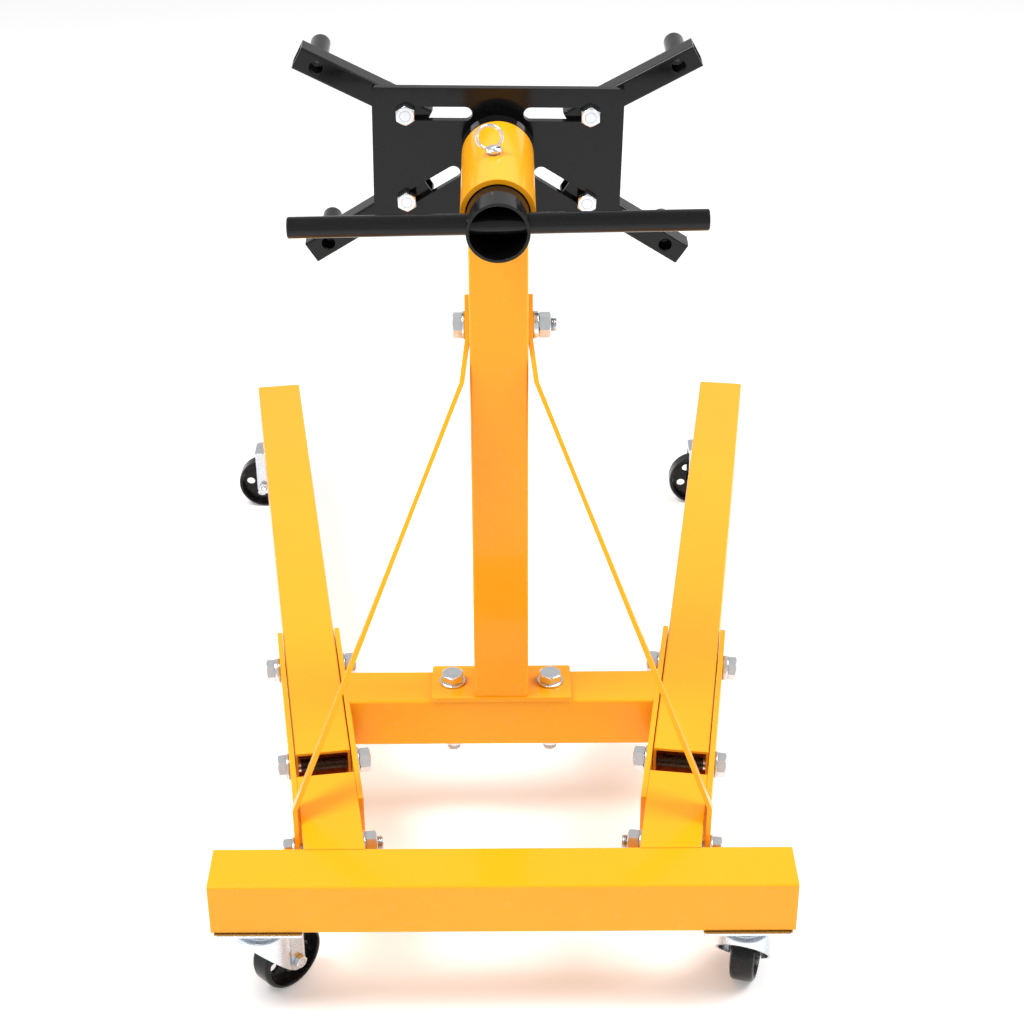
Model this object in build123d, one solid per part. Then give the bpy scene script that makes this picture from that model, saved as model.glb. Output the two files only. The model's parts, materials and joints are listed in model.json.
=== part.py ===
"""Folding, rotating engine stand. Millimetres, +X right, +Y from the handle towards the engine, +Z up.

While it is drawn, the rear crossbar's outer face is y = 0 and the stand's middle plane is x = 0. The
whole stand is then moved so that the origin is on the floor, at the centre of its outer box.
"""
import os
from math import atan2, cos, degrees, hypot, radians, sin

from build123d import *

# square tube, the same for both crossbars, the post and the legs
TUBE = 62
TUBE_WALL = 3
TUBE_RADIUS = 3
CASTER_HEIGHT = 107
TOP_Z = CASTER_HEIGHT + TUBE
MID_Z = CASTER_HEIGHT + TUBE / 2
REAR_BAR_LENGTH = 605
MID_BAR_Y = 355

# sockets: a stub of tube with an ear plate welded on each side. Lengths run along the leg, from
# the front face of the rear crossbar
LEG_ANGLE = 8.3
LEG_ROOT_X = 176
STUB_WIDTH = 63.6
STUB_RADIUS = 1
STUB_LENGTH = 127
EAR_THICK = 6
EAR_TIP = 418
EAR_START = 79
EAR_OUT = STUB_WIDTH / 2 + EAR_THICK
LEG_START = 168
LEG_END = 1097
PIVOT_AT = 188
LOCK_AT = 382
LOCK_SLOT_TURN = 15
STUB_BOLT_AT = 39

# M16 and M12 fasteners: radius, width across flats, head height, nut height
M16 = (8, 24, 10, 13)
M12 = (6, 19, 8, 10)
M8 = (4, 13, 5.5, 6.5)
BOLT_CLEARANCE = 0.4
WASHER = (15, 3)
SPRING_WASHER = (13, 3.5)
# how far a bolt's end stands past its nut: at most joints, and in the sockets, where it is flush
THREAD_END = 6
SOCKET_THREAD_END = 0.5
BOLT_TIP = 0.2
# a hexagon's ends are turned to a cone: the radius of its flat face, the radius where the cone
# meets the corners, and the cone's height, as shares of the width across flats
HEX_FACE = 0.48
HEX_CORNER = 0.58
HEX_CONE = 0.09
# the small chamfer on turned ends
EDGE = 1

# base plate, post and its braces
BASE_PLATE = (162, 66, 6)
BASE_BOLT_X = 57
BASE_BOLT_LENGTH = 96
BRACE_BOLT_Z = 633
STRAP = (30, 5)
STRAP_ABOVE_BOLT = 28
STRAP_BEND_BELOW_BOLT = 54
STRAP_BEND_OUT = 6
STRAP_FOOT = 40
STRAP_BELOW_BOLT = 17
STRAP_STAND_OFF = 3

# head, measured along its axis from above the middle of the post
HEAD_TILT = 3.1
HEAD_ROLL = 1.0
HEAD_Z = 809
SLEEVE_RADIUS = 37
SLEEVE_BORE = 32
SLEEVE = (-115, 30)
SPIN_RADIUS = 31
SPIN_WALL = 3
SPIN_START = -157
COLLAR_RADIUS = 37.5
COLLAR = (30.5, 45)
PLATE_AT = 61
PLATE = (260, 8, 150)
PLATE_TOP = 60
PLATE_CORNER = 3
HANDLE_RADIUS = 10.5
HANDLE_LENGTH = 405
HANDLE_AT = -135
HANDLE_TILT = -0.7
INDEX_HOLES = 8

# lock pin, drawn as far as the sleeve's bore; pushed in, it drops by its travel
PIN_AT = -52
PIN_LEAN = 5
PIN_RADIUS = 5
PIN_HEAD = (8.2, 3)
PIN_TRAVEL = 3
PIN_GAP = 0.3
PIN_RING = (12.4, 1.8)
PIN_RING_LEAN = 15
PIN_RING_HOLE_GAP = 0.2

# slots in the head plate, as the centres of their two round ends
SLOT_WIDTH = 15
UPPER_SLOT = ((34, 32), (99, 32))
LOWER_SLOT = ((46, -33.5), (97.5, -66))

# arms: where each one's bolt is in its slot, and the way that it points from there
ARMS = {
    "ul": ((-95.5, 32), 153.5),
    "ur": ((95.5, 32), 29.5),
    "ll": ((-95, -64.4), 213),
    "lr": ((95, -64.4), -32),
}
ARM = 25
ARM_WALL = 2.5
ARM_RADIUS = 2.5
ARM_ENDS = (-25, 124)
ARM_HOLE_AT = 102
ARM_HOLE_RADIUS = 7.25
FINGER_RADIUS = 10.5
FINGER_LENGTH = 45
SLIDING_GAP = 0.1

# casters
CASTER_PLATE = (92, 60, 3)
RACE = (21, 6)
RACE_CHAMFER = 1.5
RACE_GAP = 0.5
CROWN_RING = (25, 3)
CROWN_RADIUS = 29
CROWN_SKIRT = 6
KINGPIN_RADIUS = 6
KINGPIN_HEAD = (10, 3)
FORK_INSIDE = 17
FORK_THICK = 2.5
FORK_END_RADIUS = 12
FORK_CORNER = 6
WHEEL_RADIUS = 38.5
WHEEL_WIDTH = 26
TREAD_RADIUS = 4
TREAD_CORNER = 1.3
RIM_RADIUS = 33
RIM_TAPER = 2
HUB = (11, 32)
WEB_WIDTH = 4
WHEEL_HOLES = 5
WHEEL_HOLE = (6, 22)
TRAIL = 31
AXLE_CLEARANCE = 0.1
AXLE_END = 1.5
REAR_CASTER_X = 253.5
REAR_CASTER_Y = 26.5
FRONT_CASTER_AT = 1037
HEADING = {"rl": 43.5, "rr": 16, "fl": -90, "fr": -90}
WHEEL_TURN = {"rl": -12, "rr": 0, "fl": 0, "fr": -20}

# longer than anything here, for cutters
BIG = 2000

# every piece by its node name
pieces = {}


# ---------------------------------------------------------------- shapes used more than once

def rod(radius, length):
    """A round bar along +X from x = 0."""
    return extrude(Plane.YZ * Circle(radius), length)


def ring(outer, inner, length):
    """A washer or round tube along +X from x = 0."""
    return rod(outer, length) - rod(inner, length)


def along_y(sketch, start, end):
    """A sketch drawn with x across and y up, carried along +Y from start to end."""
    return Pos(0, start, 0) * extrude(Plane.XZ * sketch, start - end)


def tube_section(width, height, wall, radius):
    inner_radius = max(radius - wall, 0.5)
    inside = RectangleRounded(width - 2 * wall, height - 2 * wall, inner_radius)
    return RectangleRounded(width, height, radius) - inside


def tube_along_y(start, end, width=TUBE, radius=TUBE_RADIUS):
    return along_y(tube_section(width, TUBE, TUBE_WALL, radius), start, end)


def hexagon(flats, height):
    """A hexagon along +X from x = 0, with the corners of its far end turned off."""
    cone = height - HEX_CONE * flats
    profile = Polyline(
        (0, 0), (0, flats), (cone, flats), (cone, HEX_CORNER * flats),
        (height, HEX_FACE * flats), (height, 0), close=True,
    )
    turned = revolve(make_face(profile), Axis.X)
    return extrude(Plane.YZ * RegularPolygon(flats / 2, 6, major_radius=False), height) & turned


def bolt(size, length):
    """A hex bolt whose shank runs along +X from x = 0, with its head behind that."""
    radius, flats, head, nut_height = size
    shank = chamfer(rod(radius, length).edges().sort_by(Axis.X)[-1], BOLT_TIP * radius)
    return Rot(0, 0, 180) * hexagon(flats, head) + shank


def nut(size):
    radius, flats, head, height = size
    return hexagon(flats, height) - rod(radius, height)


def m16_washer():
    return ring(WASHER[0], M16[0] + BOLT_CLEARANCE, WASHER[1])


def spring_washer():
    return ring(SPRING_WASHER[0], M16[0] + BOLT_CLEARANCE, SPRING_WASHER[1])


def m16_hole(length=BIG):
    """The cutter for a bolt hole along X, centred on x = 0."""
    return Pos(-length / 2, 0, 0) * rod(M16[0] + BOLT_CLEARANCE, length)


# ---------------------------------------------------------------- places

def on_leg(along, z=MID_Z):
    """The right socket's frame: +Y along the leg, +X outward."""
    return Pos(LEG_ROOT_X, TUBE, 0) * Rot(0, 0, -LEG_ANGLE) * Pos(0, along, z)


def left(shape):
    return mirror(shape, about=Plane.YZ)


def on_head(turned=True):
    """The head's frame: +Y along its axis, +Z up the plate."""
    roll = HEAD_ROLL if turned else 0
    return Pos(0, MID_BAR_Y, HEAD_Z) * Rot(HEAD_TILT, 0, 0) * Rot(0, roll, 0)


def on_pin():
    """The lock pin's frame: +X away from the head's axis, from the axis itself."""
    return on_head(turned=False) * Pos(0, PIN_AT, 0) * Rot(0, -PIN_LEAN, 0) * Rot(0, -90, 0)


def caster_places():
    """Each caster's swivel axis on the floor."""
    front = (on_leg(FRONT_CASTER_AT, 0)).position
    return {
        "rl": (-REAR_CASTER_X, REAR_CASTER_Y),
        "rr": (REAR_CASTER_X, REAR_CASTER_Y),
        "fl": (-front.X, front.Y),
        "fr": (front.X, front.Y),
    }


# ---------------------------------------------------------------- frame

def rear_crossbar():
    bar = tube_along_y(-REAR_BAR_LENGTH / 2, REAR_BAR_LENGTH / 2)
    return Pos(0, TUBE / 2, MID_Z) * Rot(0, 0, 90) * bar


def stub():
    """The right socket's stub, its rear end cut to the crossbar's face and rounded edges."""
    tube = on_leg(0) * tube_along_y(-TUBE, STUB_LENGTH, STUB_WIDTH, STUB_RADIUS)
    section = RectangleRounded(TUBE, TUBE, TUBE_RADIUS)
    crossbar = Pos(0, TUBE / 2, MID_Z) * Rot(0, 0, 90) * along_y(section, -BIG / 2, BIG / 2)
    hole = on_leg(STUB_BOLT_AT) * m16_hole(2 * TUBE)
    beyond = Pos(0, TUBE / 2 - BIG / 2, 0) * Box(BIG, BIG, BIG)
    return tube - crossbar - beyond - hole


def ear(side):
    """An ear plate; side is 1 on the socket's outer face and -1 on its inner one."""
    middle = side * (STUB_WIDTH + EAR_THICK) / 2
    length = EAR_TIP - EAR_START
    plate = on_leg(EAR_START + length / 2) * Pos(middle, 0, 0) * Box(EAR_THICK, length, TUBE)
    for along in (PIVOT_AT, LOCK_AT):
        plate -= on_leg(along) * m16_hole(2 * TUBE)
    return plate


def mid_crossbar():
    """The crossbar between the two inner ears, its ends cut to their faces."""
    bar = Pos(0, MID_BAR_Y, MID_Z) * Rot(0, 0, 90) * tube_along_y(-LEG_ROOT_X * 2, LEG_ROOT_X * 2)
    socket = on_leg(MID_BAR_Y) * Pos(BIG / 2 - EAR_OUT, 0, 0) * Box(BIG, BIG, 2 * TUBE)
    bar -= socket
    bar -= left(socket)
    for x in (-BASE_BOLT_X, BASE_BOLT_X):
        bar -= Pos(x, MID_BAR_Y, MID_Z) * Cylinder(M16[0] + BOLT_CLEARANCE, 2 * TUBE)
    return bar


def base_plate():
    width, depth, thick = BASE_PLATE
    plate = Pos(0, MID_BAR_Y, TOP_Z + thick / 2) * Box(width, depth, thick)
    plate = fillet(plate.edges().filter_by(Axis.Z), PLATE_CORNER)
    for x in (-BASE_BOLT_X, BASE_BOLT_X):
        plate -= Pos(x, MID_BAR_Y, TOP_Z) * Cylinder(M16[0] + BOLT_CLEARANCE, TUBE)
    return plate


def post():
    """The post, its top cut to the sleeve's round underside."""
    bottom = TOP_Z + BASE_PLATE[2]
    section = tube_section(TUBE, TUBE, TUBE_WALL, TUBE_RADIUS)
    tube = Pos(0, MID_BAR_Y, bottom) * extrude(section, HEAD_Z - bottom)
    tube -= on_head(turned=False) * along_y(Circle(SLEEVE_RADIUS), -2 * TUBE, 2 * TUBE)
    tube -= Pos(0, MID_BAR_Y, BRACE_BOLT_Z) * m16_hole(2 * TUBE)
    return tube.solids().sort_by(Axis.Z)[0]


def strap_sections():
    """Planes across the right brace from its top to its foot, +X through its thickness.

    It lies flat on the post's side at its top and on the stub's side at its foot, so it is
    twisted a little between its two bends.
    """
    foot_place = on_leg(STUB_BOLT_AT) * Pos(STUB_WIDTH / 2 + STRAP_STAND_OFF, 0, 0)
    foot = foot_place.position
    post_side = TUBE / 2
    slope = (MID_BAR_Y - foot.Y) / (BRACE_BOLT_Z - MID_Z)
    upper_up = Vector(0, slope, 1)
    turn = radians(LEG_ANGLE)
    lower_up = Vector(slope * sin(turn), slope * cos(turn), 1)
    outward_foot = Vector(cos(turn), -sin(turn), 0)
    top = Vector(post_side, MID_BAR_Y, BRACE_BOLT_Z)
    bend = top - upper_up * STRAP_BEND_BELOW_BOLT + Vector(STRAP_BEND_OUT, 0, 0)
    return [
        Plane(top + upper_up * STRAP_ABOVE_BOLT, x_dir=(1, 0, 0), z_dir=upper_up),
        Plane(top - upper_up * WASHER[0], x_dir=(1, 0, 0), z_dir=upper_up),
        Plane(bend, x_dir=(1, 0, 0), z_dir=upper_up),
        Plane(foot + lower_up * STRAP_FOOT, x_dir=outward_foot, z_dir=lower_up),
        Plane(foot - lower_up * STRAP_BELOW_BOLT, x_dir=outward_foot, z_dir=lower_up),
    ]


def brace():
    """The right brace: a flat strap with two bends."""
    width, thick = STRAP
    across = Pos(thick / 2, 0) * Rectangle(thick, width)
    strap = loft([place * across for place in strap_sections()], ruled=True)
    strap -= Pos(0, MID_BAR_Y, BRACE_BOLT_Z) * m16_hole(4 * TUBE)
    strap -= on_leg(STUB_BOLT_AT) * m16_hole(4 * TUBE)
    return strap


def sleeve():
    """The sleeve that the head turns in, with the lock pin's hole through its top."""
    tube = on_head() * along_y(Circle(SLEEVE_RADIUS) - Circle(SLEEVE_BORE), *SLEEVE)
    return tube - on_pin() * rod(PIN_RADIUS + BOLT_CLEARANCE, 2 * SLEEVE_RADIUS)


def seat_of_pin():
    """How far the underside of the lock pin's head is from the head's axis, at rest."""
    return SLEEVE_RADIUS + PIN_TRAVEL + PIN_GAP


# ---------------------------------------------------------------- fasteners on the frame

def inward(along, bearing):
    """On the right socket, a frame whose +X runs inward from a bearing face on its outside."""
    return on_leg(along) * Pos(bearing, 0, 0) * Rot(0, 0, 180)


def outward(along, bearing):
    """The same on its inside: +X runs from the bearing face toward the middle of the stand."""
    return on_leg(along) * Pos(-bearing, 0, 0) * Rot(0, 0, 180)


def socket_fasteners():
    """The bolts, nuts and washers of both sockets, for the pivots and the locks."""
    bolts, nuts, washers = [], [], []
    thick = WASHER[1]
    for along in (PIVOT_AT, LOCK_AT):
        head_at = EAR_OUT + thick
        if along == LOCK_AT:
            head_at += SPRING_WASHER[1]
            washers.append(inward(along, head_at) * spring_washer())
        length = head_at + EAR_OUT + thick + M16[3] + SOCKET_THREAD_END
        bolts.append(inward(along, head_at) * bolt(M16, length))
        washers.append(inward(along, EAR_OUT + thick) * m16_washer())
        washers.append(outward(along, EAR_OUT) * m16_washer())
        nuts.append(outward(along, EAR_OUT + thick) * nut(M16))
    return bolts, nuts, washers


def stub_fasteners():
    """The bolt that holds each brace's foot beside its stub."""
    half = STUB_WIDTH / 2
    thick = WASHER[1]
    head_at = half + STRAP_STAND_OFF + STRAP[1]
    length = head_at + thick + half + thick + M16[3] + THREAD_END
    bolts = [inward(STUB_BOLT_AT, head_at + thick) * bolt(M16, length)]
    washers = [
        inward(STUB_BOLT_AT, head_at + thick) * m16_washer(),
        outward(STUB_BOLT_AT, half) * m16_washer(),
    ]
    nuts = [outward(STUB_BOLT_AT, half + thick) * nut(M16)]
    return bolts, nuts, washers


def brace_fasteners():
    """The bolt through the post and both braces: its head on the left, its nut on the right."""
    axis = Pos(0, MID_BAR_Y, BRACE_BOLT_Z)
    face = TUBE / 2 + STRAP[1]
    thick = WASHER[1]
    length = 2 * face + 3 * thick + M16[3] + THREAD_END
    washers = [
        axis * Pos(-face - thick, 0, 0) * m16_washer(),
        axis * Pos(face, 0, 0) * m16_washer(),
        axis * Pos(face + thick, 0, 0) * m16_washer(),
    ]
    through = axis * Pos(-face - thick, 0, 0) * bolt(M16, length)
    return through, axis * Pos(face + 2 * thick, 0, 0) * nut(M16), washers


def base_fasteners():
    """The two bolts down through the base plate and the crossbar, with their nuts below."""
    bolts, nuts, washers = [], [], []
    thick = WASHER[1]
    top = TOP_Z + BASE_PLATE[2]
    for x in (-BASE_BOLT_X, BASE_BOLT_X):
        down = Pos(x, MID_BAR_Y, 0) * Rot(0, 90, 0)
        under = down * Pos(-CASTER_HEIGHT, 0, 0)
        bolts.append(down * Pos(-top - thick, 0, 0) * bolt(M16, BASE_BOLT_LENGTH))
        washers.append(down * Pos(-top - thick, 0, 0) * m16_washer())
        washers.append(under * m16_washer())
        nuts.append(under * Pos(thick, 0, 0) * nut(M16))
    return bolts, nuts, washers


# ---------------------------------------------------------------- legs and casters

def leg():
    """The right folding leg. Its lock hole is open below, along its path as the leg folds."""
    tube = on_leg(0) * tube_along_y(LEG_START, LEG_END)
    tube -= on_leg(PIVOT_AT) * m16_hole(2 * TUBE)
    reach = LOCK_AT - PIVOT_AT
    path = CenterArc((0, 0), reach, -LOCK_SLOT_TURN, LOCK_SLOT_TURN)
    slot = extrude(Plane.YZ * SlotArc(path, 2 * (M16[0] + BOLT_CLEARANCE)), TUBE, both=True)
    return tube - on_leg(PIVOT_AT) * slot


def caster_frame(name, x, y):
    """A caster's own frame: its swivel axis is Z, and the wheel trails toward +Y."""
    return Pos(x, y, 0) * Rot(0, 0, -HEADING[name])


def top_plate():
    """The plate with its pressed race below, and the kingpin riveted through it."""
    width, depth, thick = CASTER_PLATE
    plate = Pos(0, 0, CASTER_HEIGHT - thick / 2) * Box(width, depth, thick)
    plate = fillet(plate.edges().filter_by(Axis.Z), PLATE_CORNER)
    radius, height = RACE
    race_bottom = CASTER_HEIGHT - thick - height
    race = Pos(0, 0, race_bottom) * extrude(Circle(radius), height)
    race = chamfer(race.edges().group_by(Axis.Z)[0], RACE_CHAMFER)
    head_radius, head_height = KINGPIN_HEAD
    crown_bottom = race_bottom - 2 * RACE_GAP - CROWN_RING[1] - FORK_THICK
    pin = Pos(0, 0, crown_bottom) * extrude(Circle(KINGPIN_RADIUS), race_bottom - crown_bottom)
    head = Pos(0, 0, crown_bottom - head_height) * extrude(Circle(head_radius), head_height)
    return plate + race + pin + fillet(head.edges().group_by(Axis.Z)[0], EDGE)


def fork():
    """The pressed fork: a round crown with a raised ring, drawn down into two legs for the axle."""
    ring_radius, ring_height = CROWN_RING
    top = CASTER_HEIGHT - CASTER_PLATE[2] - RACE[1] - RACE_GAP - ring_height
    outside = FORK_INSIDE + FORK_THICK
    end = TRAIL + FORK_END_RADIUS
    back = Pos(0, end / 2) * Rectangle(2 * outside, end)
    back = fillet(back.vertices().group_by(Axis.Y)[-1], FORK_CORNER)
    outline = Circle(CROWN_RADIUS) + back
    body = extrude(outline, top)
    body = fillet(body.edges().group_by(Axis.Z)[-1], FORK_THICK - 0.5)
    body -= extrude(offset(outline, -FORK_THICK), top - FORK_THICK)
    crown = Pos((end - CROWN_RADIUS) / 2, top - CROWN_SKIRT / 2)
    side = make_hull(
        (
            Pos(TRAIL, WHEEL_RADIUS) * Circle(FORK_END_RADIUS)
            + crown * Rectangle(end + CROWN_RADIUS, CROWN_SKIRT)
        ).edges()
    )
    body &= extrude(Plane.YZ * side, CROWN_RADIUS, both=True)
    body -= Pos(0, BIG / 2, 0) * Box(2 * FORK_INSIDE, BIG, 2 * (top - CROWN_SKIRT))
    body += Pos(0, 0, top) * extrude(Circle(ring_radius), ring_height)
    body -= extrude(Circle(KINGPIN_RADIUS + RACE_GAP), top + ring_height)
    axle = Pos(-outside - 1, TRAIL, WHEEL_RADIUS) * rod(M8[0] + AXLE_CLEARANCE, 2 * outside + 2)
    return body - axle


def wheel(name):
    """The wheel, centred on its axle along X: tread, thin web with round holes, hub."""
    half, web, hub = WHEEL_WIDTH / 2, WEB_WIDTH / 2, HUB[1] / 2
    bore = M8[0] + AXLE_CLEARANCE
    profile = Polyline(
        (0, bore), (hub, bore), (hub, HUB[0]), (web, HUB[0] + RIM_TAPER),
        (web, RIM_RADIUS - RIM_TAPER), (half - RIM_TAPER, RIM_RADIUS), (half, RIM_RADIUS + EDGE),
        (half, WHEEL_RADIUS - TREAD_RADIUS), (half - TREAD_CORNER, WHEEL_RADIUS - TREAD_CORNER),
        (half - TREAD_RADIUS, WHEEL_RADIUS), (0, WHEEL_RADIUS), close=True,
    )
    side = revolve(make_face(profile), Axis.X)
    body = side + mirror(side, about=Plane.YZ)
    radius, circle = WHEEL_HOLE
    for i in range(WHEEL_HOLES):
        around = Rot(360 * i / WHEEL_HOLES + WHEEL_TURN[name], 0, 0) * Pos(-HUB[1], circle, 0)
        body -= around * rod(radius, 2 * HUB[1])
    return body


def caster(name, x, y):
    """The pieces of one caster that turn with its fork, and its wheel."""
    place = caster_frame(name, x, y)
    axle = place * Pos(0, TRAIL, WHEEL_RADIUS)
    outside = FORK_INSIDE + FORK_THICK
    through = Pos(outside, 0, 0) * Rot(0, 0, 180) * bolt(M8, 2 * outside + M8[3] + AXLE_END)
    pieces["fork_" + name] = place * fork()
    pieces["axle_bolt_" + name] = axle * through
    pieces["axle_nut_" + name] = axle * Pos(-outside, 0, 0) * Rot(0, 0, 180) * nut(M8)
    pieces["wheel_" + name] = axle * wheel(name)


# ---------------------------------------------------------------- head

def spin_tube():
    """The tube that turns in the sleeve, with the handle's holes and a ring of index holes."""
    section = Circle(SPIN_RADIUS) - Circle(SPIN_RADIUS - SPIN_WALL)
    tube = on_head() * along_y(section, SPIN_START, PLATE_AT)
    tube -= handle_place() * Pos(-TUBE, 0, 0) * rod(HANDLE_RADIUS + BOLT_CLEARANCE, 2 * TUBE)
    for i in range(INDEX_HOLES):
        turn = on_head() * Rot(0, 360 * i / INDEX_HOLES, 0) * on_head().inverse()
        tube -= turn * on_pin() * rod(PIN_RADIUS + BOLT_CLEARANCE, SPIN_RADIUS + 1)
    return tube


def handle_place():
    return on_head(turned=False) * Pos(0, HANDLE_AT, 0) * Rot(0, HANDLE_TILT, 0)


def handle():
    bar = rod(HANDLE_RADIUS, HANDLE_LENGTH)
    return handle_place() * Pos(-HANDLE_LENGTH / 2, 0, 0) * chamfer(bar.edges(), EDGE)


def collar():
    """The ring on the turning tube, just in front of the sleeve."""
    section = Circle(COLLAR_RADIUS) - Circle(SPIN_RADIUS)
    return on_head() * along_y(section, *COLLAR)


def slot(ends):
    """A slot's outline from the centres of its two round ends."""
    (x1, y1), (x2, y2) = ends
    return SlotCenterToCenter(hypot(x2 - x1, y2 - y1), SLOT_WIDTH).moved(slot_place(ends))


def slot_place(ends):
    (x1, y1), (x2, y2) = ends
    turn = degrees(atan2(y2 - y1, x2 - x1))
    return Pos((x1 + x2) / 2, (y1 + y2) / 2, 0) * Rot(0, 0, turn)


def head_plate():
    width, thick, height = PLATE
    outline = Pos(0, PLATE_TOP - height / 2) * RectangleRounded(width, height, PLATE_CORNER)
    for ends in (UPPER_SLOT, LOWER_SLOT):
        outline -= slot(ends)
        outline -= slot(tuple((-x, y) for x, y in ends))
    return on_head() * along_y(outline, PLATE_AT, PLATE_AT + thick)


def arm_frame(name):
    """An arm's frame: its bolt's axis is Y from the plate's back, and +X runs along the arm."""
    (x, z), angle = ARMS[name]
    return on_head() * Pos(x, PLATE_AT + PLATE[1] + SLIDING_GAP, z) * Rot(0, -angle, 0)


def arm_tube():
    """An arm: square tube with the slot bolt's hole at one end and the engine bolt's at the other."""
    tube = Rot(0, 0, -90) * along_y(tube_section(ARM, ARM, ARM_WALL, ARM_RADIUS), *ARM_ENDS)
    tube -= across_arm(0, M12[0] + BOLT_CLEARANCE)
    tube -= across_arm(ARM_HOLE_AT, ARM_HOLE_RADIUS)
    return Pos(0, ARM / 2, 0) * tube


def across_arm(along, radius):
    return Pos(along, -ARM, 0) * Rot(0, 0, 90) * rod(radius, 2 * ARM)


def finger():
    """The round tube on the back of an arm that the engine bolt runs through."""
    section = Circle(FINGER_RADIUS) - Circle(ARM_HOLE_RADIUS)
    return Pos(ARM_HOLE_AT, 0, 0) * along_y(section, ARM, ARM + FINGER_LENGTH)


def arm(name):
    """The pieces of one arm, and the bolt and nut that clamp it in its slot."""
    place = arm_frame(name)
    front = -PLATE[1] - 2 * SLIDING_GAP
    back = ARM + SLIDING_GAP
    length = back - front + M12[3] + THREAD_END
    along = Rot(0, 0, 90)
    pieces["arm_" + name] = place * arm_tube()
    pieces["finger_" + name] = place * finger()
    pieces["slot_bolt_" + name] = place * Pos(0, front, 0) * along * bolt(M12, length)
    pieces["slot_nut_" + name] = place * Pos(0, back, 0) * along * nut(M12)


def lock_pin():
    """The pin, its round head cut away for the pull ring."""
    radius, height = PIN_HEAD
    tip = chamfer(rod(PIN_RADIUS, seat_of_pin() - SLEEVE_BORE).edges().sort_by(Axis.X)[0], EDGE)
    head = Pos(seat_of_pin() - SLEEVE_BORE, 0, 0) * rod(radius, height)
    top = chamfer(head.edges().sort_by(Axis.X)[-1], EDGE)
    return on_pin() * Pos(SLEEVE_BORE, 0, 0) * (tip + top) - pull_ring(PIN_RING_HOLE_GAP)


def pull_ring(grow=0):
    """The pull ring, standing up through the top of the pin's head."""
    radius, wire = PIN_RING
    hinge = on_pin() * Pos(seat_of_pin() + PIN_HEAD[1] - EDGE, 0, 0) * Rot(0, 90, 0)
    upright = Rot(90, 0, 0) * Torus(radius, wire + grow)
    return hinge * Rot(0, -PIN_RING_LEAN, 0) * Pos(0, 0, radius) * upright


# ---------------------------------------------------------------- the whole stand

def add_frame():
    pieces["rear_crossbar"] = rear_crossbar()
    pieces["mid_crossbar"] = mid_crossbar()
    pieces["stub_r"] = stub()
    pieces["stub_l"] = left(pieces["stub_r"])
    pieces["base_plate"] = base_plate()
    pieces["post"] = post()
    pieces["brace_r"] = brace()
    pieces["brace_l"] = left(pieces["brace_r"])
    pieces["sleeve"] = sleeve()
    ears = [ear(1), ear(-1)]
    pieces["ears"] = ears + [left(e) for e in ears]


def add_fasteners():
    bolts, nuts, washers = socket_fasteners()
    stub_bolts, stub_nuts, stub_washers = stub_fasteners()
    brace_bolt, brace_nut, brace_washers = brace_fasteners()
    base_bolts, base_nuts, base_washers = base_fasteners()
    right_nuts = nuts + stub_nuts
    right_washers = washers + stub_washers
    pieces["socket_bolts"] = bolts + [left(b) for b in bolts]
    pieces["stub_bolts"] = stub_bolts + [left(b) for b in stub_bolts]
    pieces["brace_bolt"] = brace_bolt
    pieces["base_bolts"] = base_bolts
    pieces["m16_nuts"] = right_nuts + [left(n) for n in right_nuts] + [brace_nut] + base_nuts
    pieces["m16_washers"] = (
        right_washers + [left(w) for w in right_washers] + brace_washers + base_washers
    )


def add_legs_and_casters():
    pieces["leg_r"] = leg()
    pieces["leg_l"] = left(pieces["leg_r"])
    plate = top_plate()
    front = on_leg(FRONT_CASTER_AT, 0) * Rot(0, 0, 90) * plate
    pieces["caster_plate_fr"] = front
    pieces["caster_plate_fl"] = left(front)
    rear = Pos(REAR_CASTER_X, REAR_CASTER_Y, 0) * plate
    pieces["caster_plates_rear"] = [left(rear), rear]
    for name, (x, y) in caster_places().items():
        caster(name, x, y)


def add_head():
    pieces["spin_tube"] = spin_tube()
    pieces["collar"] = collar()
    pieces["head_plate"] = head_plate()
    pieces["handle"] = handle()
    pieces["lock_pin"] = lock_pin()
    pieces["pin_ring"] = pull_ring()
    for name in ARMS:
        arm(name)


def solids_of(piece):
    listed = piece if isinstance(piece, list) else [piece]
    return [solid for shape in listed for solid in shape.solids()]


def write_parts():
    """Move the stand onto its origin and write one STEP file a node."""
    os.makedirs("parts", exist_ok=True)
    nodes = {name: Compound(children=solids_of(piece)) for name, piece in pieces.items()}
    box = Compound(children=[Compound(solids_of(n)) for n in nodes.values()]).bounding_box()
    home = Pos(-box.center().X, -box.center().Y, -box.min.Z)
    for name, node in nodes.items():
        export_step(home * node, f"parts/{name}.step")
    print("origin moved by", home.position)
    print("size", box.size, "nodes", len(nodes))


add_frame()
add_fasteners()
add_legs_and_casters()
add_head()
write_parts()
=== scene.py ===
"""The looks of a folding engine stand: paint, zinc, threaded fasteners, floor, light and camera.

Metres, in the CAD part's own frame. Every piece made here is placed from the CAD nodes' own meshes.
"""
import json
import math

import bmesh
import bpy
import numpy as np
from mathutils import Matrix, Vector


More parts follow.
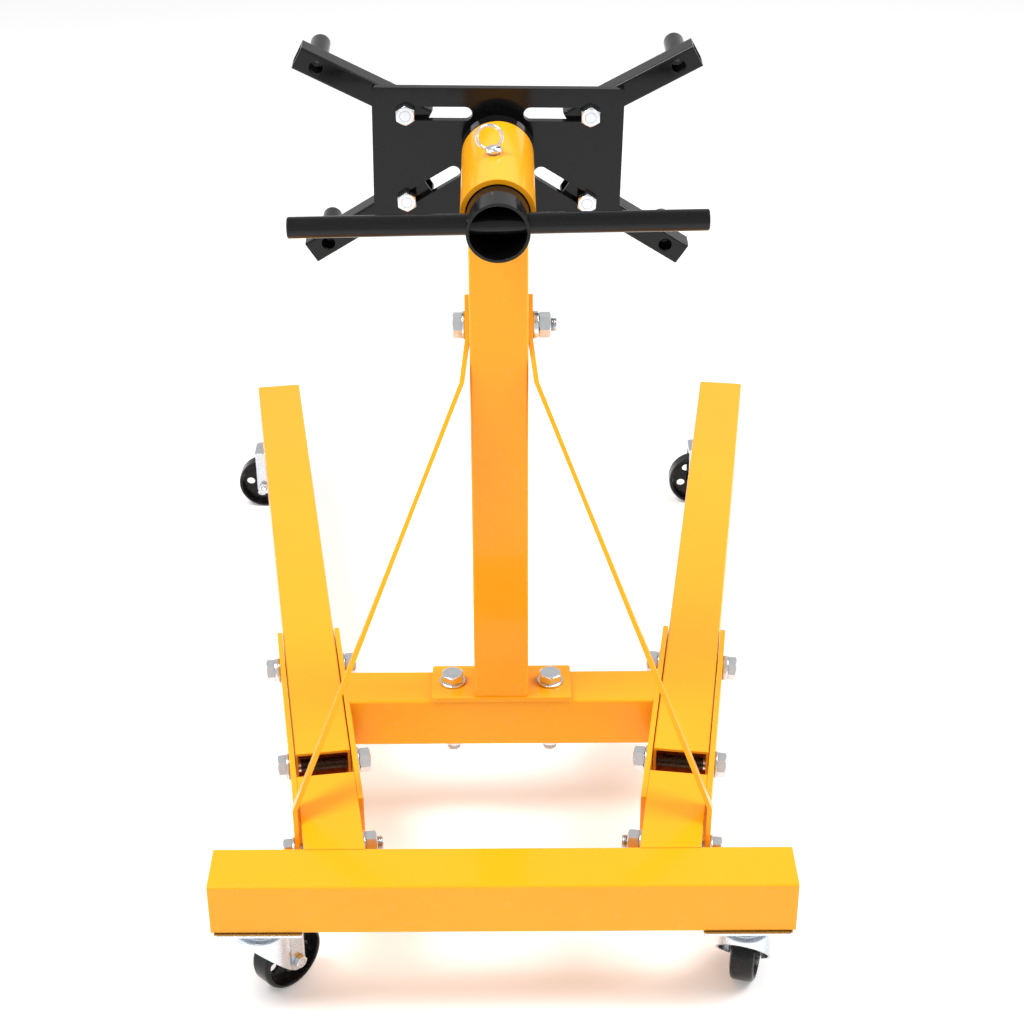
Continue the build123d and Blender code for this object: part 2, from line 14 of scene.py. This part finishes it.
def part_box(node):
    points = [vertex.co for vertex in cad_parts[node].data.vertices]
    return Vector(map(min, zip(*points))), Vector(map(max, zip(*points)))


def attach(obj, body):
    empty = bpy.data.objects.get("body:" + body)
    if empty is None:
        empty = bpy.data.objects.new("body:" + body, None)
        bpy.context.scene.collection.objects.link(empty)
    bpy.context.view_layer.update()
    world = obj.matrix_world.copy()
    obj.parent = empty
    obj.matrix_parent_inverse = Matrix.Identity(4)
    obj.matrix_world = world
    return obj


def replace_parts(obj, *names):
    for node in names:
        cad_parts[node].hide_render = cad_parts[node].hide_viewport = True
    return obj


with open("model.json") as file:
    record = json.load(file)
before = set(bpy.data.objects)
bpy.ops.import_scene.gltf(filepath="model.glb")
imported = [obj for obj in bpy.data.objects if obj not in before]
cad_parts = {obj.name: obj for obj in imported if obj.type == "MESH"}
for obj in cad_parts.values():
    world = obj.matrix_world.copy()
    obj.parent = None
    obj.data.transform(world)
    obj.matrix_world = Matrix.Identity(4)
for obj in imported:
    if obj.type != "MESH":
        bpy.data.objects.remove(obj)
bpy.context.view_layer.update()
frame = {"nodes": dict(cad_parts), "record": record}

NODES = frame["nodes"]
BODY_OF = {
    node: body
    for body, nodes in frame["record"]["behaviour"]["bodies"].items()
    for node in nodes
}
SLOT_OF = {part["node"]: part["material_slot"] for part in frame["record"]["subparts"]}
MM = 0.001

# points closer than this are one point
MERGE = 0.001 * MM

# fasteners: thread pitches, nut bores, and the plain part of each kind of bolt's shank
M16_PITCH, M12_PITCH, M8_PITCH = 2 * MM, 1.75 * MM, 1.25 * MM
M16_BORE, M12_BORE, M8_BORE = 8 * MM, 6 * MM, 4 * MM
SOCKET_PLAIN, FRAME_PLAIN, SLOT_PLAIN, AXLE_PLAIN = 16 * MM, 30 * MM, 12 * MM, 36 * MM

# hexagons: points round each ring, the flat face's share of the half width across flats, the
# cone's slope and rings, and the countersink of a nut's bore (how far out, how deep)
HEX_STEPS = 96
HEX_FACE = 0.95
CONE_SLOPE = math.tan(math.radians(30))
CONE_RINGS = 5
MOUTH_OUT, MOUTH_DEEP = 0.6 * MM, 0.8 * MM

# the faint ring on a bolt's head: its rim and its foot as shares of the corner radius, how far the
# rim stands out of the face, and how far the foot is sunk into it
RING_STEPS = 48
RING_RIM, RING_FOOT = 0.52, 0.46
RING_OUT, RING_IN = 0.1 * MM, 0.4 * MM

# threads: points round a turn, depth as a share of the pitch, and a tooth's outline, each point
# as its share of the way along a pitch and whether it is at the crest
THREAD_STEPS = 36
THREAD_DEPTH = 0.6
TOOTH = ((0.0, False), (0.12, False), (0.44, True), (0.56, True), (0.88, False), (1.0, False))

# a thread's end: the chamfer as a share of the radius, and how far the cap covers past the root;
# then the taper from the plain shank down to the thread (how long, how deep)
THREAD_CHAMFER = 0.12
CAP_OVER_ROOT = 0.4 * MM
TAPER_LONG, TAPER_DEEP = 0.4 * MM, 0.6 * MM

WASHER_STEPS = 72
WASHER_EDGE = 0.4 * MM

# edges that turn more than this many degrees stay sharp
HEX_SHARP, THREAD_SHARP, WASHER_SHARP = 25, 60, 40

# the camera: its place from the middle of the rear crossbar's near face on the floor, its axes
CAMERA_PLACE = Vector((0.00107, -1.59059, 1.53054))
CAMERA_RIGHT = Vector((0.9999398, 0.00405081, -0.01019785))
CAMERA_UP = Vector((0.00685046, 0.4955439, 0.86855588))
SENSOR, LENS = 36, 70.93
SHIFT = (0.0276, -0.0123)

# the light: how bright the studio is at its horizon and overhead, and where both lamps point
HORIZON, ZENITH = 0.85, 0.5
LIT_POINT = Vector((0, 0, 0.3))
FLOOR_SIZE = 40


# ---------------------------------------------------------------- materials

class Shader:
    """A node material, with short calls for the nodes that the finishes below share."""

    def __init__(self, name):
        self.material = bpy.data.materials.new(name)
        self.material.use_nodes = True
        self.tree = self.material.node_tree
        self.surface = self.tree.nodes["Principled BSDF"]
        self.place = self.node("ShaderNodeTexCoord").outputs["Object"]

    def node(self, kind, **settings):
        made = self.tree.nodes.new(kind)
        for key, value in settings.items():
            setattr(made, key, value)
        return made

    def link(self, source, target):
        self.tree.links.new(source, target)

    def set(self, **values):
        """Constant values on the surface's own sockets; an underscore stands for a space."""
        for key, value in values.items():
            self.surface.inputs[key.replace("_", " ")].default_value = value

    def noise(self, scale, detail=3.0, roughness=0.5):
        """A noise of that many cells a metre."""
        made = self.node("ShaderNodeTexNoise")
        made.inputs["Scale"].default_value = scale
        made.inputs["Detail"].default_value = detail
        made.inputs["Roughness"].default_value = roughness
        self.link(self.place, made.inputs["Vector"])
        return made.outputs["Fac"]

    def ramp(self, source, low, high, low_value, high_value):
        """Maps source from low..high to low_value..high_value, clamped."""
        made = self.node("ShaderNodeMapRange", clamp=True)
        self.link(source, made.inputs["Value"])
        for key, value in (
            ("From Min", low),
            ("From Max", high),
            ("To Min", low_value),
            ("To Max", high_value),
        ):
            made.inputs[key].default_value = value
        return made.outputs["Result"]

    def blend(self, share, a, b):
        """Colour a where share is 0 and b where it is 1; each is a colour or a socket."""
        made = self.node("ShaderNodeMix", data_type="RGBA")
        self.link(share, made.inputs["Factor"])
        # the node has sockets for each type of data; 6 and 7 in and 2 out are the colours
        for socket, colour in zip((made.inputs[6], made.inputs[7]), (a, b)):
            if isinstance(colour, tuple):
                socket.default_value = (*colour, 1.0)
            else:
                self.link(colour, socket)
        return made.outputs[2]

    def bump(self, height, distance, strength, under):
        """A bump of that many metres over the normal under it."""
        made = self.node("ShaderNodeBump")
        made.inputs["Distance"].default_value = distance
        made.inputs["Strength"].default_value = strength
        self.link(height, made.inputs["Height"])
        self.link(under, made.inputs["Normal"])
        return made.outputs["Normal"]

    def soft_edges(self, radius):
        """A normal that rounds the edges over that radius."""
        made = self.node("ShaderNodeBevel", samples=4)
        made.inputs["Radius"].default_value = radius
        return made.outputs["Normal"]

    def crevice(self, distance):
        """1 on open surfaces and less in corners."""
        made = self.node("ShaderNodeAmbientOcclusion", samples=4)
        made.inputs["Distance"].default_value = distance
        return made.outputs["AO"]


def powder_coat(name, main, painted_shade_colour):
    """Gloss powder coat: a little orange peel, and painted shade, a slightly darker colour, in
    corners.
    """
    s = Shader(name)
    patches = s.ramp(s.noise(9, 2), 0.35, 0.65, 0.0, 0.4)
    tint = s.blend(patches, main, tuple(0.96 * c for c in main))
    # painted shade: where ambient occlusion finds corners and creases, the colour turns toward the
    # darker second colour
    painted_corner_shade = s.ramp(s.crevice(20 * MM), 0.25, 0.85, 0.8, 0.0)
    s.link(s.blend(painted_corner_shade, tint, painted_shade_colour), s.surface.inputs["Base Color"])
    s.link(s.ramp(s.noise(60, 3), 0.3, 0.7, 0.24, 0.28), s.surface.inputs["Roughness"])
    peel = s.bump(s.noise(420, 2), 0.03 * MM, 0.06, s.soft_edges(0.8 * MM))
    s.link(peel, s.surface.inputs["Normal"])
    s.link(peel, s.surface.inputs["Coat Normal"])
    s.set(Coat_Weight=0.2, Coat_Roughness=0.06, Specular_IOR_Level=0.25)
    return s.material


def black_paint(name):
    """Black gloss enamel with faint ripples and a few dull specks."""
    s = Shader(name)
    specks = s.ramp(s.noise(900, 1), 0.68, 0.74, 0.0, 1.0)
    colours = (0.005, 0.005, 0.0055), (0.02, 0.02, 0.021)
    s.link(s.blend(specks, *colours), s.surface.inputs["Base Color"])
    s.link(s.ramp(s.noise(70, 4), 0.3, 0.7, 0.1, 0.18), s.surface.inputs["Roughness"])
    peel = s.bump(s.noise(380, 2), 0.06 * MM, 0.15, s.soft_edges(0.7 * MM))
    s.link(s.bump(s.noise(30, 2), 0.5 * MM, 0.08, peel), s.surface.inputs["Normal"])
    s.set(Specular_IOR_Level=0.28)
    return s.material


def zinc(name, tone=(0.77, 0.79, 0.82), mottling=0.08, roughness=0.22, edge=0.4 * MM):
    """Bright zinc plate: mottled, with a cool cast, and painted shade that darkens its corners."""
    s = Shader(name)
    mottle = s.ramp(s.noise(240, 5, 0.6), 0.3, 0.7, 0.0, 1.0)
    plate = s.blend(mottle, tone, tuple((1 - mottling) * c for c in tone))
    # painted shade: where ambient occlusion finds corners, the plate turns toward a near-black grey
    painted_corner_shade = s.ramp(s.crevice(4 * MM), 0.2, 0.8, 0.7, 0.0)
    s.link(s.blend(painted_corner_shade, plate, (0.16, 0.15, 0.14)), s.surface.inputs["Base Color"])
    rough = s.ramp(s.noise(500, 4), 0.3, 0.7, roughness, roughness + 0.7 * mottling)
    s.link(rough, s.surface.inputs["Roughness"])
    grain = s.bump(s.noise(1300, 3), 0.02 * MM, 0.15, s.soft_edges(edge))
    s.link(grain, s.surface.inputs["Normal"])
    s.set(Metallic=1.0)
    return s.material


def dark_thread(name):
    """Black-oxide threads with a trace of oil."""
    s = Shader(name)
    film = s.ramp(s.noise(300, 4), 0.35, 0.65, 0.0, 1.0)
    s.link(s.blend(film, (0.10, 0.085, 0.07), (0.17, 0.145, 0.12)), s.surface.inputs["Base Color"])
    s.link(s.ramp(s.noise(700, 3), 0.3, 0.7, 0.22, 0.4), s.surface.inputs["Roughness"])
    s.set(Metallic=0.85)
    return s.material


def wheel_plastic(name):
    """Glossy black moulding with a faint grain."""
    s = Shader(name)
    grain = s.ramp(s.noise(220, 5, 0.65), 0.42, 0.62, 0.0, 1.0)
    colours = (0.005, 0.005, 0.0055), (0.011, 0.011, 0.012)
    s.link(s.blend(grain, *colours), s.surface.inputs["Base Color"])
    s.link(s.ramp(s.noise(160, 4), 0.3, 0.7, 0.12, 0.24), s.surface.inputs["Roughness"])
    pores = s.bump(s.noise(800, 3), 0.04 * MM, 0.2, s.soft_edges(0.9 * MM))
    s.link(pores, s.surface.inputs["Normal"])
    s.set(Specular_IOR_Level=0.22)
    return s.material


def floor_finish(name):
    """Matt white paper, lit a little from behind so that shadows on it stay faint."""
    s = Shader(name)
    tone = s.ramp(s.noise(1.3, 2), 0.3, 0.7, 0.0, 1.0)
    s.link(s.blend(tone, (0.86, 0.86, 0.86), (0.875, 0.87, 0.87)), s.surface.inputs["Base Color"])
    s.set(Roughness=0.85, Specular_IOR_Level=0.1)
    s.set(Emission_Color=(1, 1, 1, 1), Emission_Strength=0.2)
    return s.material


# the second colour is the painted shade that powder_coat puts in corners
YELLOW = powder_coat("yellow_powder_coat", (0.93, 0.385, 0.006), (0.80, 0.28, 0.004))
BLACK = black_paint("black_gloss")
ZINC = zinc("bright_zinc")
CASTER_ZINC = zinc("caster_zinc", (0.66, 0.71, 0.77), 0.05, 0.26, 0.8 * MM)
DARK_THREAD = dark_thread("dark_thread")
WHEEL = wheel_plastic("wheel_black")


FINISHES = {"yellow_paint": YELLOW, "black_gloss": BLACK, "zinc": ZINC, "wheel_black": WHEEL}


def finish_of(node):
    """A node's material. The casters' plating is a little bluer than the fasteners'."""
    if node.startswith(("fork_", "caster_plate")):
        return CASTER_ZINC
    return FINISHES[SLOT_OF[node]]


def paint_nodes():
    for node, shown in NODES.items():
        shown.data.materials.clear()
        shown.data.materials.append(finish_of(node))


# ---------------------------------------------------------------- mesh helpers

def piece(name, vertices, faces, material, body, slot, sharp):
    """A mesh piece that rides on a body. Edges that turn more than sharp degrees stay sharp."""
    mesh = bpy.data.meshes.new(name)
    mesh.from_pydata([tuple(v) for v in vertices], [], [tuple(f) for f in faces])
    work = bmesh.new()
    work.from_mesh(mesh)
    bmesh.ops.remove_doubles(work, verts=work.verts, dist=MERGE)
    bmesh.ops.recalc_face_normals(work, faces=work.faces)
    for edge in work.edges:
        edge.smooth = not edge.is_manifold or edge.calc_face_angle(0.0) < math.radians(sharp)
    for face in work.faces:
        face.smooth = True
    work.to_mesh(mesh)
    work.free()
    mesh.materials.append(material)
    made = bpy.data.objects.new(name, mesh)
    bpy.context.scene.collection.objects.link(made)
    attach(made, body)
    return made


def grid_faces(rows, columns, wrap=True):
    """Quads between rows of points, each row a ring when wrap is true."""
    faces = []
    for r in range(rows - 1):
        for c in range(columns if wrap else columns - 1):
            d = (c + 1) % columns
            a = r * columns
            b = a + columns
            faces.append((a + c, a + d, b + d, b + c))
    return faces


def joined(parts):
    """One vertex list and one face list from several of each."""
    vertices, faces = [], []
    for some, these in parts:
        start = len(vertices)
        vertices.extend(some)
        faces.extend(tuple(i + start for i in f) for f in these)
    return vertices, faces


def placed(part, matrix):
    """A part moved by a matrix."""
    vertices, faces = part
    return [matrix @ Vector(v) for v in vertices], faces


def angles(steps):
    """Equal turns, in radians."""
    return [2 * math.pi * i / steps for i in range(steps)]


def circle(x, radius, steps):
    """A ring of points about the X axis."""
    return [(x, radius * math.cos(a), radius * math.sin(a)) for a in angles(steps)]


def lathe(profile, steps=64):
    """Turns (along, radius) points about the X axis; a radius of 0 closes the end."""
    vertices = [point for along, radius in profile for point in circle(along, radius, steps)]
    return vertices, grid_faces(len(profile), steps)


# ---------------------------------------------------------------- reading the CAD fasteners

def points_of(node):
    """All the points of a CAD node's mesh."""
    return np.array([v.co for v in NODES[node].data.vertices])


def islands(node):
    """The separate solids of a CAD node, each as an array of points.

    Solids that share points come as one: three pairs of stacked washers do.
    """
    mesh = NODES[node].data
    points = points_of(node)
    keys = {}
    first = np.array([keys.setdefault(tuple(np.round(p, 6)), i) for i, p in enumerate(points)])
    parent = list(range(len(points)))

    def root(i):
        while parent[i] != i:
            parent[i] = parent[parent[i]]
            i = parent[i]
        return i

    for polygon in mesh.polygons:
        ends = [root(first[v]) for v in polygon.vertices]
        for other in ends[1:]:
            parent[other] = ends[0]
            ends = [root(e) for e in ends]
    groups = {}
    for i in range(len(points)):
        groups.setdefault(root(first[i]), []).append(i)
    return [points[g] for g in groups.values()]


def fastener_axis(points, long):
    """The axis of a bolt (its longest direction) or of a nut or washer (its odd one out)."""
    hull = np.unique(np.round(points, 6), axis=0)
    spread = hull - hull.mean(0)
    values, vectors = np.linalg.eigh(spread.T @ spread)
    if long:
        return vectors[:, -1]
    gaps = (values[1] - values[0], values[2] - values[1])
    return vectors[:, 0] if gaps[0] > gaps[1] else vectors[:, 2]


def fastener_place(points, axis, is_bolt):
    """A matrix whose +X is the axis, from a bolt's head or from either end, and +Y a corner.

    Also the length, the hexagon's corner radius, and for a bolt the length of its head.
    """
    axis = axis / np.linalg.norm(axis)
    along = points @ axis
    off = points - np.outer(along, axis)
    corner_a = off[np.argmax(np.linalg.norm(off - off.mean(0), axis=1))]
    # the centre line: the middle of the outermost points on opposite sides
    basis_y = corner_a - off.mean(0)
    basis_y = basis_y / np.linalg.norm(basis_y)
    basis_z = np.cross(axis, basis_y)
    y = off @ basis_y
    z = off @ basis_z
    centre = basis_y * (y.max() + y.min()) / 2 + basis_z * (z.max() + z.min()) / 2
    radial = np.linalg.norm(off - centre, axis=1)
    corner = radial.max()
    start, end = along.min(), along.max()
    head = None
    if is_bolt:
        # the points of the hexagon, which is well outside the shank
        wide = along[radial > 0.8 * corner]
        if wide.mean() > (start + end) / 2:
            axis = -axis
            start, end = -end, -start
            wide = -wide
        head = wide.max() - start
    far = off[np.argmax(radial)] - centre
    basis_y = far / np.linalg.norm(far)
    basis_z = np.cross(axis, basis_y)
    matrix = Matrix(
        (
            (axis[0], basis_y[0], basis_z[0], 0),
            (axis[1], basis_y[1], basis_z[1], 0),
            (axis[2], basis_y[2], basis_z[2], 0),
            (0, 0, 0, 1),
        )
    )
    matrix.translation = Vector(centre + axis * start)
    return matrix, end - start, corner, head


# ---------------------------------------------------------------- fasteners

def hexagon_part(corner, height, is_head=False, bore=0.0):
    """A hexagon along +X from 0, a corner toward +Y, its ends turned to a cone.

    A bolt's head has its cone at x = 0, its outer end, and the end at its shank is square. A nut
    has a cone on both ends, and a bore.
    """
    flats = corner * math.cos(math.pi / 6)
    face = HEX_FACE * flats
    rise = [(corner - face) * CONE_SLOPE * k / CONE_RINGS for k in range(CONE_RINGS + 1)]
    levels = rise + ([height] if is_head else [height - r for r in reversed(rise)])
    side = []
    for x in levels:
        low_cone = face + x / CONE_SLOPE
        high_cone = corner if is_head else face + (height - x) / CONE_SLOPE
        for a in angles(HEX_STEPS):
            turn = (a + math.pi / 6) % (math.pi / 3) - math.pi / 6
            flat = flats / math.cos(math.pi / 6 - abs(turn))
            radius = min(flat, low_cone, high_cone)
            side.append((x, radius * math.cos(a), radius * math.sin(a)))
    mouth = bore + MOUTH_OUT if bore else 0.0
    near_end = side[:HEX_STEPS] + circle(0.0, mouth, HEX_STEPS)
    far_end = side[-HEX_STEPS:] + circle(height, mouth, HEX_STEPS)
    parts = [
        (side, grid_faces(len(levels), HEX_STEPS)),
        (near_end, grid_faces(2, HEX_STEPS)),
        (far_end, grid_faces(2, HEX_STEPS)),
    ]
    if bore:
        wall = ((0.0, mouth), (MOUTH_DEEP, bore), (height - MOUTH_DEEP, bore), (height, mouth))
        parts.append(lathe(wall, HEX_STEPS))
    return joined(parts)


def thread_part(radius, pitch, start, end):
    """A threaded rod along +X, its far end chamfered and closed."""
    root = radius - THREAD_DEPTH * pitch
    tip = (1 - THREAD_CHAMFER) * radius
    # the thread begins a turn before the start and runs on past the end; what is outside is
    # pressed flat onto the two ends
    rows = (int((end - start) / pitch) + 3) * THREAD_STEPS + 1
    vertices = []
    for i in range(rows):
        a = 2 * math.pi * i / THREAD_STEPS
        base = start + pitch * (i / THREAD_STEPS - 1)
        for share, at_crest in TOOTH:
            x = min(max(base + share * pitch, start), end)
            r = min(radius if at_crest else root, tip + end - x)
            vertices.append((x, r * math.cos(a), r * math.sin(a)))
    faces = grid_faces(rows, len(TOOTH), wrap=False)
    cap = lathe(((end, min(tip, root + CAP_OVER_ROOT)), (end, 0.0)), THREAD_STEPS)
    return joined([(vertices, faces), cap])


def bolt_piece(name, points, node, pitch, plain_length, thread_material):
    """A hex bolt: a chamfered head with a faint ring, a plain shank, and a thread to its end."""
    matrix, length, corner, head = fastener_place(points, fastener_axis(points, True), True)
    shank = shank_radius(points, matrix)
    body = BODY_OF[node]
    head_part = hexagon_part(corner, head, is_head=True)
    rim, foot = RING_RIM * corner, RING_FOOT * corner
    ring = lathe(((-RING_OUT, rim), (RING_IN, foot), (RING_IN, 0.0)), RING_STEPS)
    thread_start = head + plain_length
    taper_end = (thread_start + TAPER_LONG, shank - TAPER_DEEP)
    plain = lathe(((head, shank), (thread_start, shank), taper_end))
    thread = thread_part(shank, pitch, thread_start, length)
    whole = placed(joined([head_part, ring, plain]), matrix)
    made = piece(name, *whole, ZINC, body, "zinc", HEX_SHARP)
    turned = placed(thread, matrix)
    piece(name + "_thread", *turned, thread_material, body, "zinc", THREAD_SHARP)
    return made


def shank_radius(points, matrix):
    """The largest radius of a bolt's points that are well past its head."""
    local = np.array([matrix.inverted() @ Vector(p) for p in points])
    far = local[local[:, 0] > 0.6 * local[:, 0].max()]
    return float(np.hypot(far[:, 1], far[:, 2]).max())


def nut_piece(name, points, node, bore):
    """A hex nut, chamfered on both ends."""
    matrix, height, corner, _ = fastener_place(points, fastener_axis(points, False), False)
    part = hexagon_part(corner, height, bore=bore)
    return piece(name, *placed(part, matrix), ZINC, BODY_OF[node], "zinc", HEX_SHARP)


def washer_piece(name, points, node):
    """A washer with rounded outer edges. Spring washers are drawn the same way, without a split."""
    matrix, thick, outer, _ = fastener_place(points, fastener_axis(points, False), False)
    local = np.array([matrix.inverted() @ Vector(p) for p in points])
    inner = float(np.hypot(local[:, 1], local[:, 2]).min())
    edge = WASHER_EDGE
    rounded = [(0.0, outer - 2 * edge), (0.4 * edge, outer - 0.5 * edge), (1.4 * edge, outer)]
    low_side = [(0.0, inner), *rounded]
    high_side = [(thick - x, r) for x, r in reversed(low_side)]
    ring = lathe((*low_side, *high_side, low_side[0]), WASHER_STEPS)
    return piece(name, *placed(ring, matrix), ZINC, BODY_OF[node], "zinc", WASHER_SHARP)


def by_position(groups):
    """Solids in an order that doesn't depend on how the node lists them."""
    return sorted(groups, key=lambda g: tuple(np.round(g.mean(0), 3)))


def add_frame_bolts():
    """The M16 bolts. Only those in the sockets have dark threads."""
    for node in ("socket_bolts", "stub_bolts", "base_bolts", "brace_bolt"):
        dark = node == "socket_bolts"
        finish = DARK_THREAD if dark else ZINC
        plain = SOCKET_PLAIN if dark else FRAME_PLAIN
        bolts = [
            bolt_piece(f"{node}_{i}", points, node, M16_PITCH, plain, finish)
            for i, points in enumerate(by_position(islands(node)))
        ]
        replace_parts(bolts[0], node)


def add_single_fasteners():
    """The slot and axle bolts and nuts, each alone in its node."""
    bolts = {"slot_bolt": (M12_PITCH, SLOT_PLAIN), "axle_bolt": (M8_PITCH, AXLE_PLAIN)}
    nuts = {"slot_nut": M12_BORE, "axle_nut": M8_BORE}
    for node in sorted(NODES):
        kind = node.rpartition("_")[0]
        if kind in bolts:
            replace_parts(bolt_piece(node + "_v", points_of(node), node, *bolts[kind], ZINC), node)
        if kind in nuts:
            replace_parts(nut_piece(node + "_v", points_of(node), node, nuts[kind]), node)


def add_nuts_and_washers():
    """The M16 nuts and washers, all of each kind in one node."""
    nuts = [
        nut_piece(f"m16_nut_{i}", points, "m16_nuts", M16_BORE)
        for i, points in enumerate(by_position(islands("m16_nuts")))
    ]
    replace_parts(nuts[0], "m16_nuts")
    washers = [
        washer_piece(f"m16_washer_{i}", points, "m16_washers")
        for i, points in enumerate(by_position(islands("m16_washers")))
    ]
    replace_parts(washers[0], "m16_washers")


# ---------------------------------------------------------------- stage, light and camera

def add_floor():
    bpy.ops.mesh.primitive_plane_add(size=FLOOR_SIZE)
    floor = bpy.context.object
    floor.name = "floor"
    floor.data.materials.append(floor_finish("studio_floor"))


def add_light(name, at, size, power):
    """A round white lamp that points at the middle of the stand."""
    data = bpy.data.lights.new(name, "AREA")
    data.shape = "DISK"
    data.size = size
    data.energy = power
    made = bpy.data.objects.new(name, data)
    made.location = at
    made.rotation_mode = "QUATERNION"
    made.rotation_quaternion = (LIT_POINT - Vector(at)).to_track_quat("-Z", "Y")
    bpy.context.scene.collection.objects.link(made)


def add_world():
    """A white studio whose walls are brighter than its ceiling."""
    world = bpy.data.worlds.new("studio")
    world.use_nodes = True
    tree = world.node_tree
    background = tree.nodes["Background"]
    background.inputs["Color"].default_value = (1, 1, 1, 1)
    height = tree.nodes.new("ShaderNodeSeparateXYZ")
    strength = tree.nodes.new("ShaderNodeMapRange")
    strength.inputs["To Min"].default_value = HORIZON
    strength.inputs["To Max"].default_value = ZENITH
    direction = tree.nodes.new("ShaderNodeTexCoord").outputs["Generated"]
    tree.links.new(direction, height.inputs["Vector"])
    tree.links.new(height.outputs["Z"], strength.inputs["Value"])
    tree.links.new(strength.outputs["Result"], background.inputs["Strength"])
    bpy.context.scene.world = world


def add_camera():
    """At the handle end, 1.5 m up, looking down at about 30 degrees."""
    low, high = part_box("rear_crossbar")
    origin = Vector(((low.x + high.x) / 2, low.y, 0))
    data = bpy.data.cameras.new("camera")
    data.sensor_width = SENSOR
    data.lens = LENS
    data.shift_x, data.shift_y = SHIFT
    data.clip_end = 100
    camera = bpy.data.objects.new("camera", data)
    axes = (CAMERA_RIGHT, CAMERA_UP, CAMERA_RIGHT.cross(CAMERA_UP))
    turn = Matrix(axes).transposed().to_4x4()
    camera.matrix_world = Matrix.Translation(origin + CAMERA_PLACE) @ turn
    bpy.context.scene.collection.objects.link(camera)
    bpy.context.scene.camera = camera


def set_view():
    scene = bpy.context.scene
    scene.view_settings.view_transform = "Standard"
    scene.view_settings.look = "None"
    scene.view_settings.exposure = 0.0


# ---------------------------------------------------------------- the scene

paint_nodes()
add_frame_bolts()
add_single_fasteners()
add_nuts_and_washers()
add_floor()
add_world()
add_light("key", at=(-1.6, -0.8, 3.4), size=1.6, power=95)
add_light("fill", at=(2.2, -0.2, 2.8), size=1.8, power=75)
add_camera()
set_view()
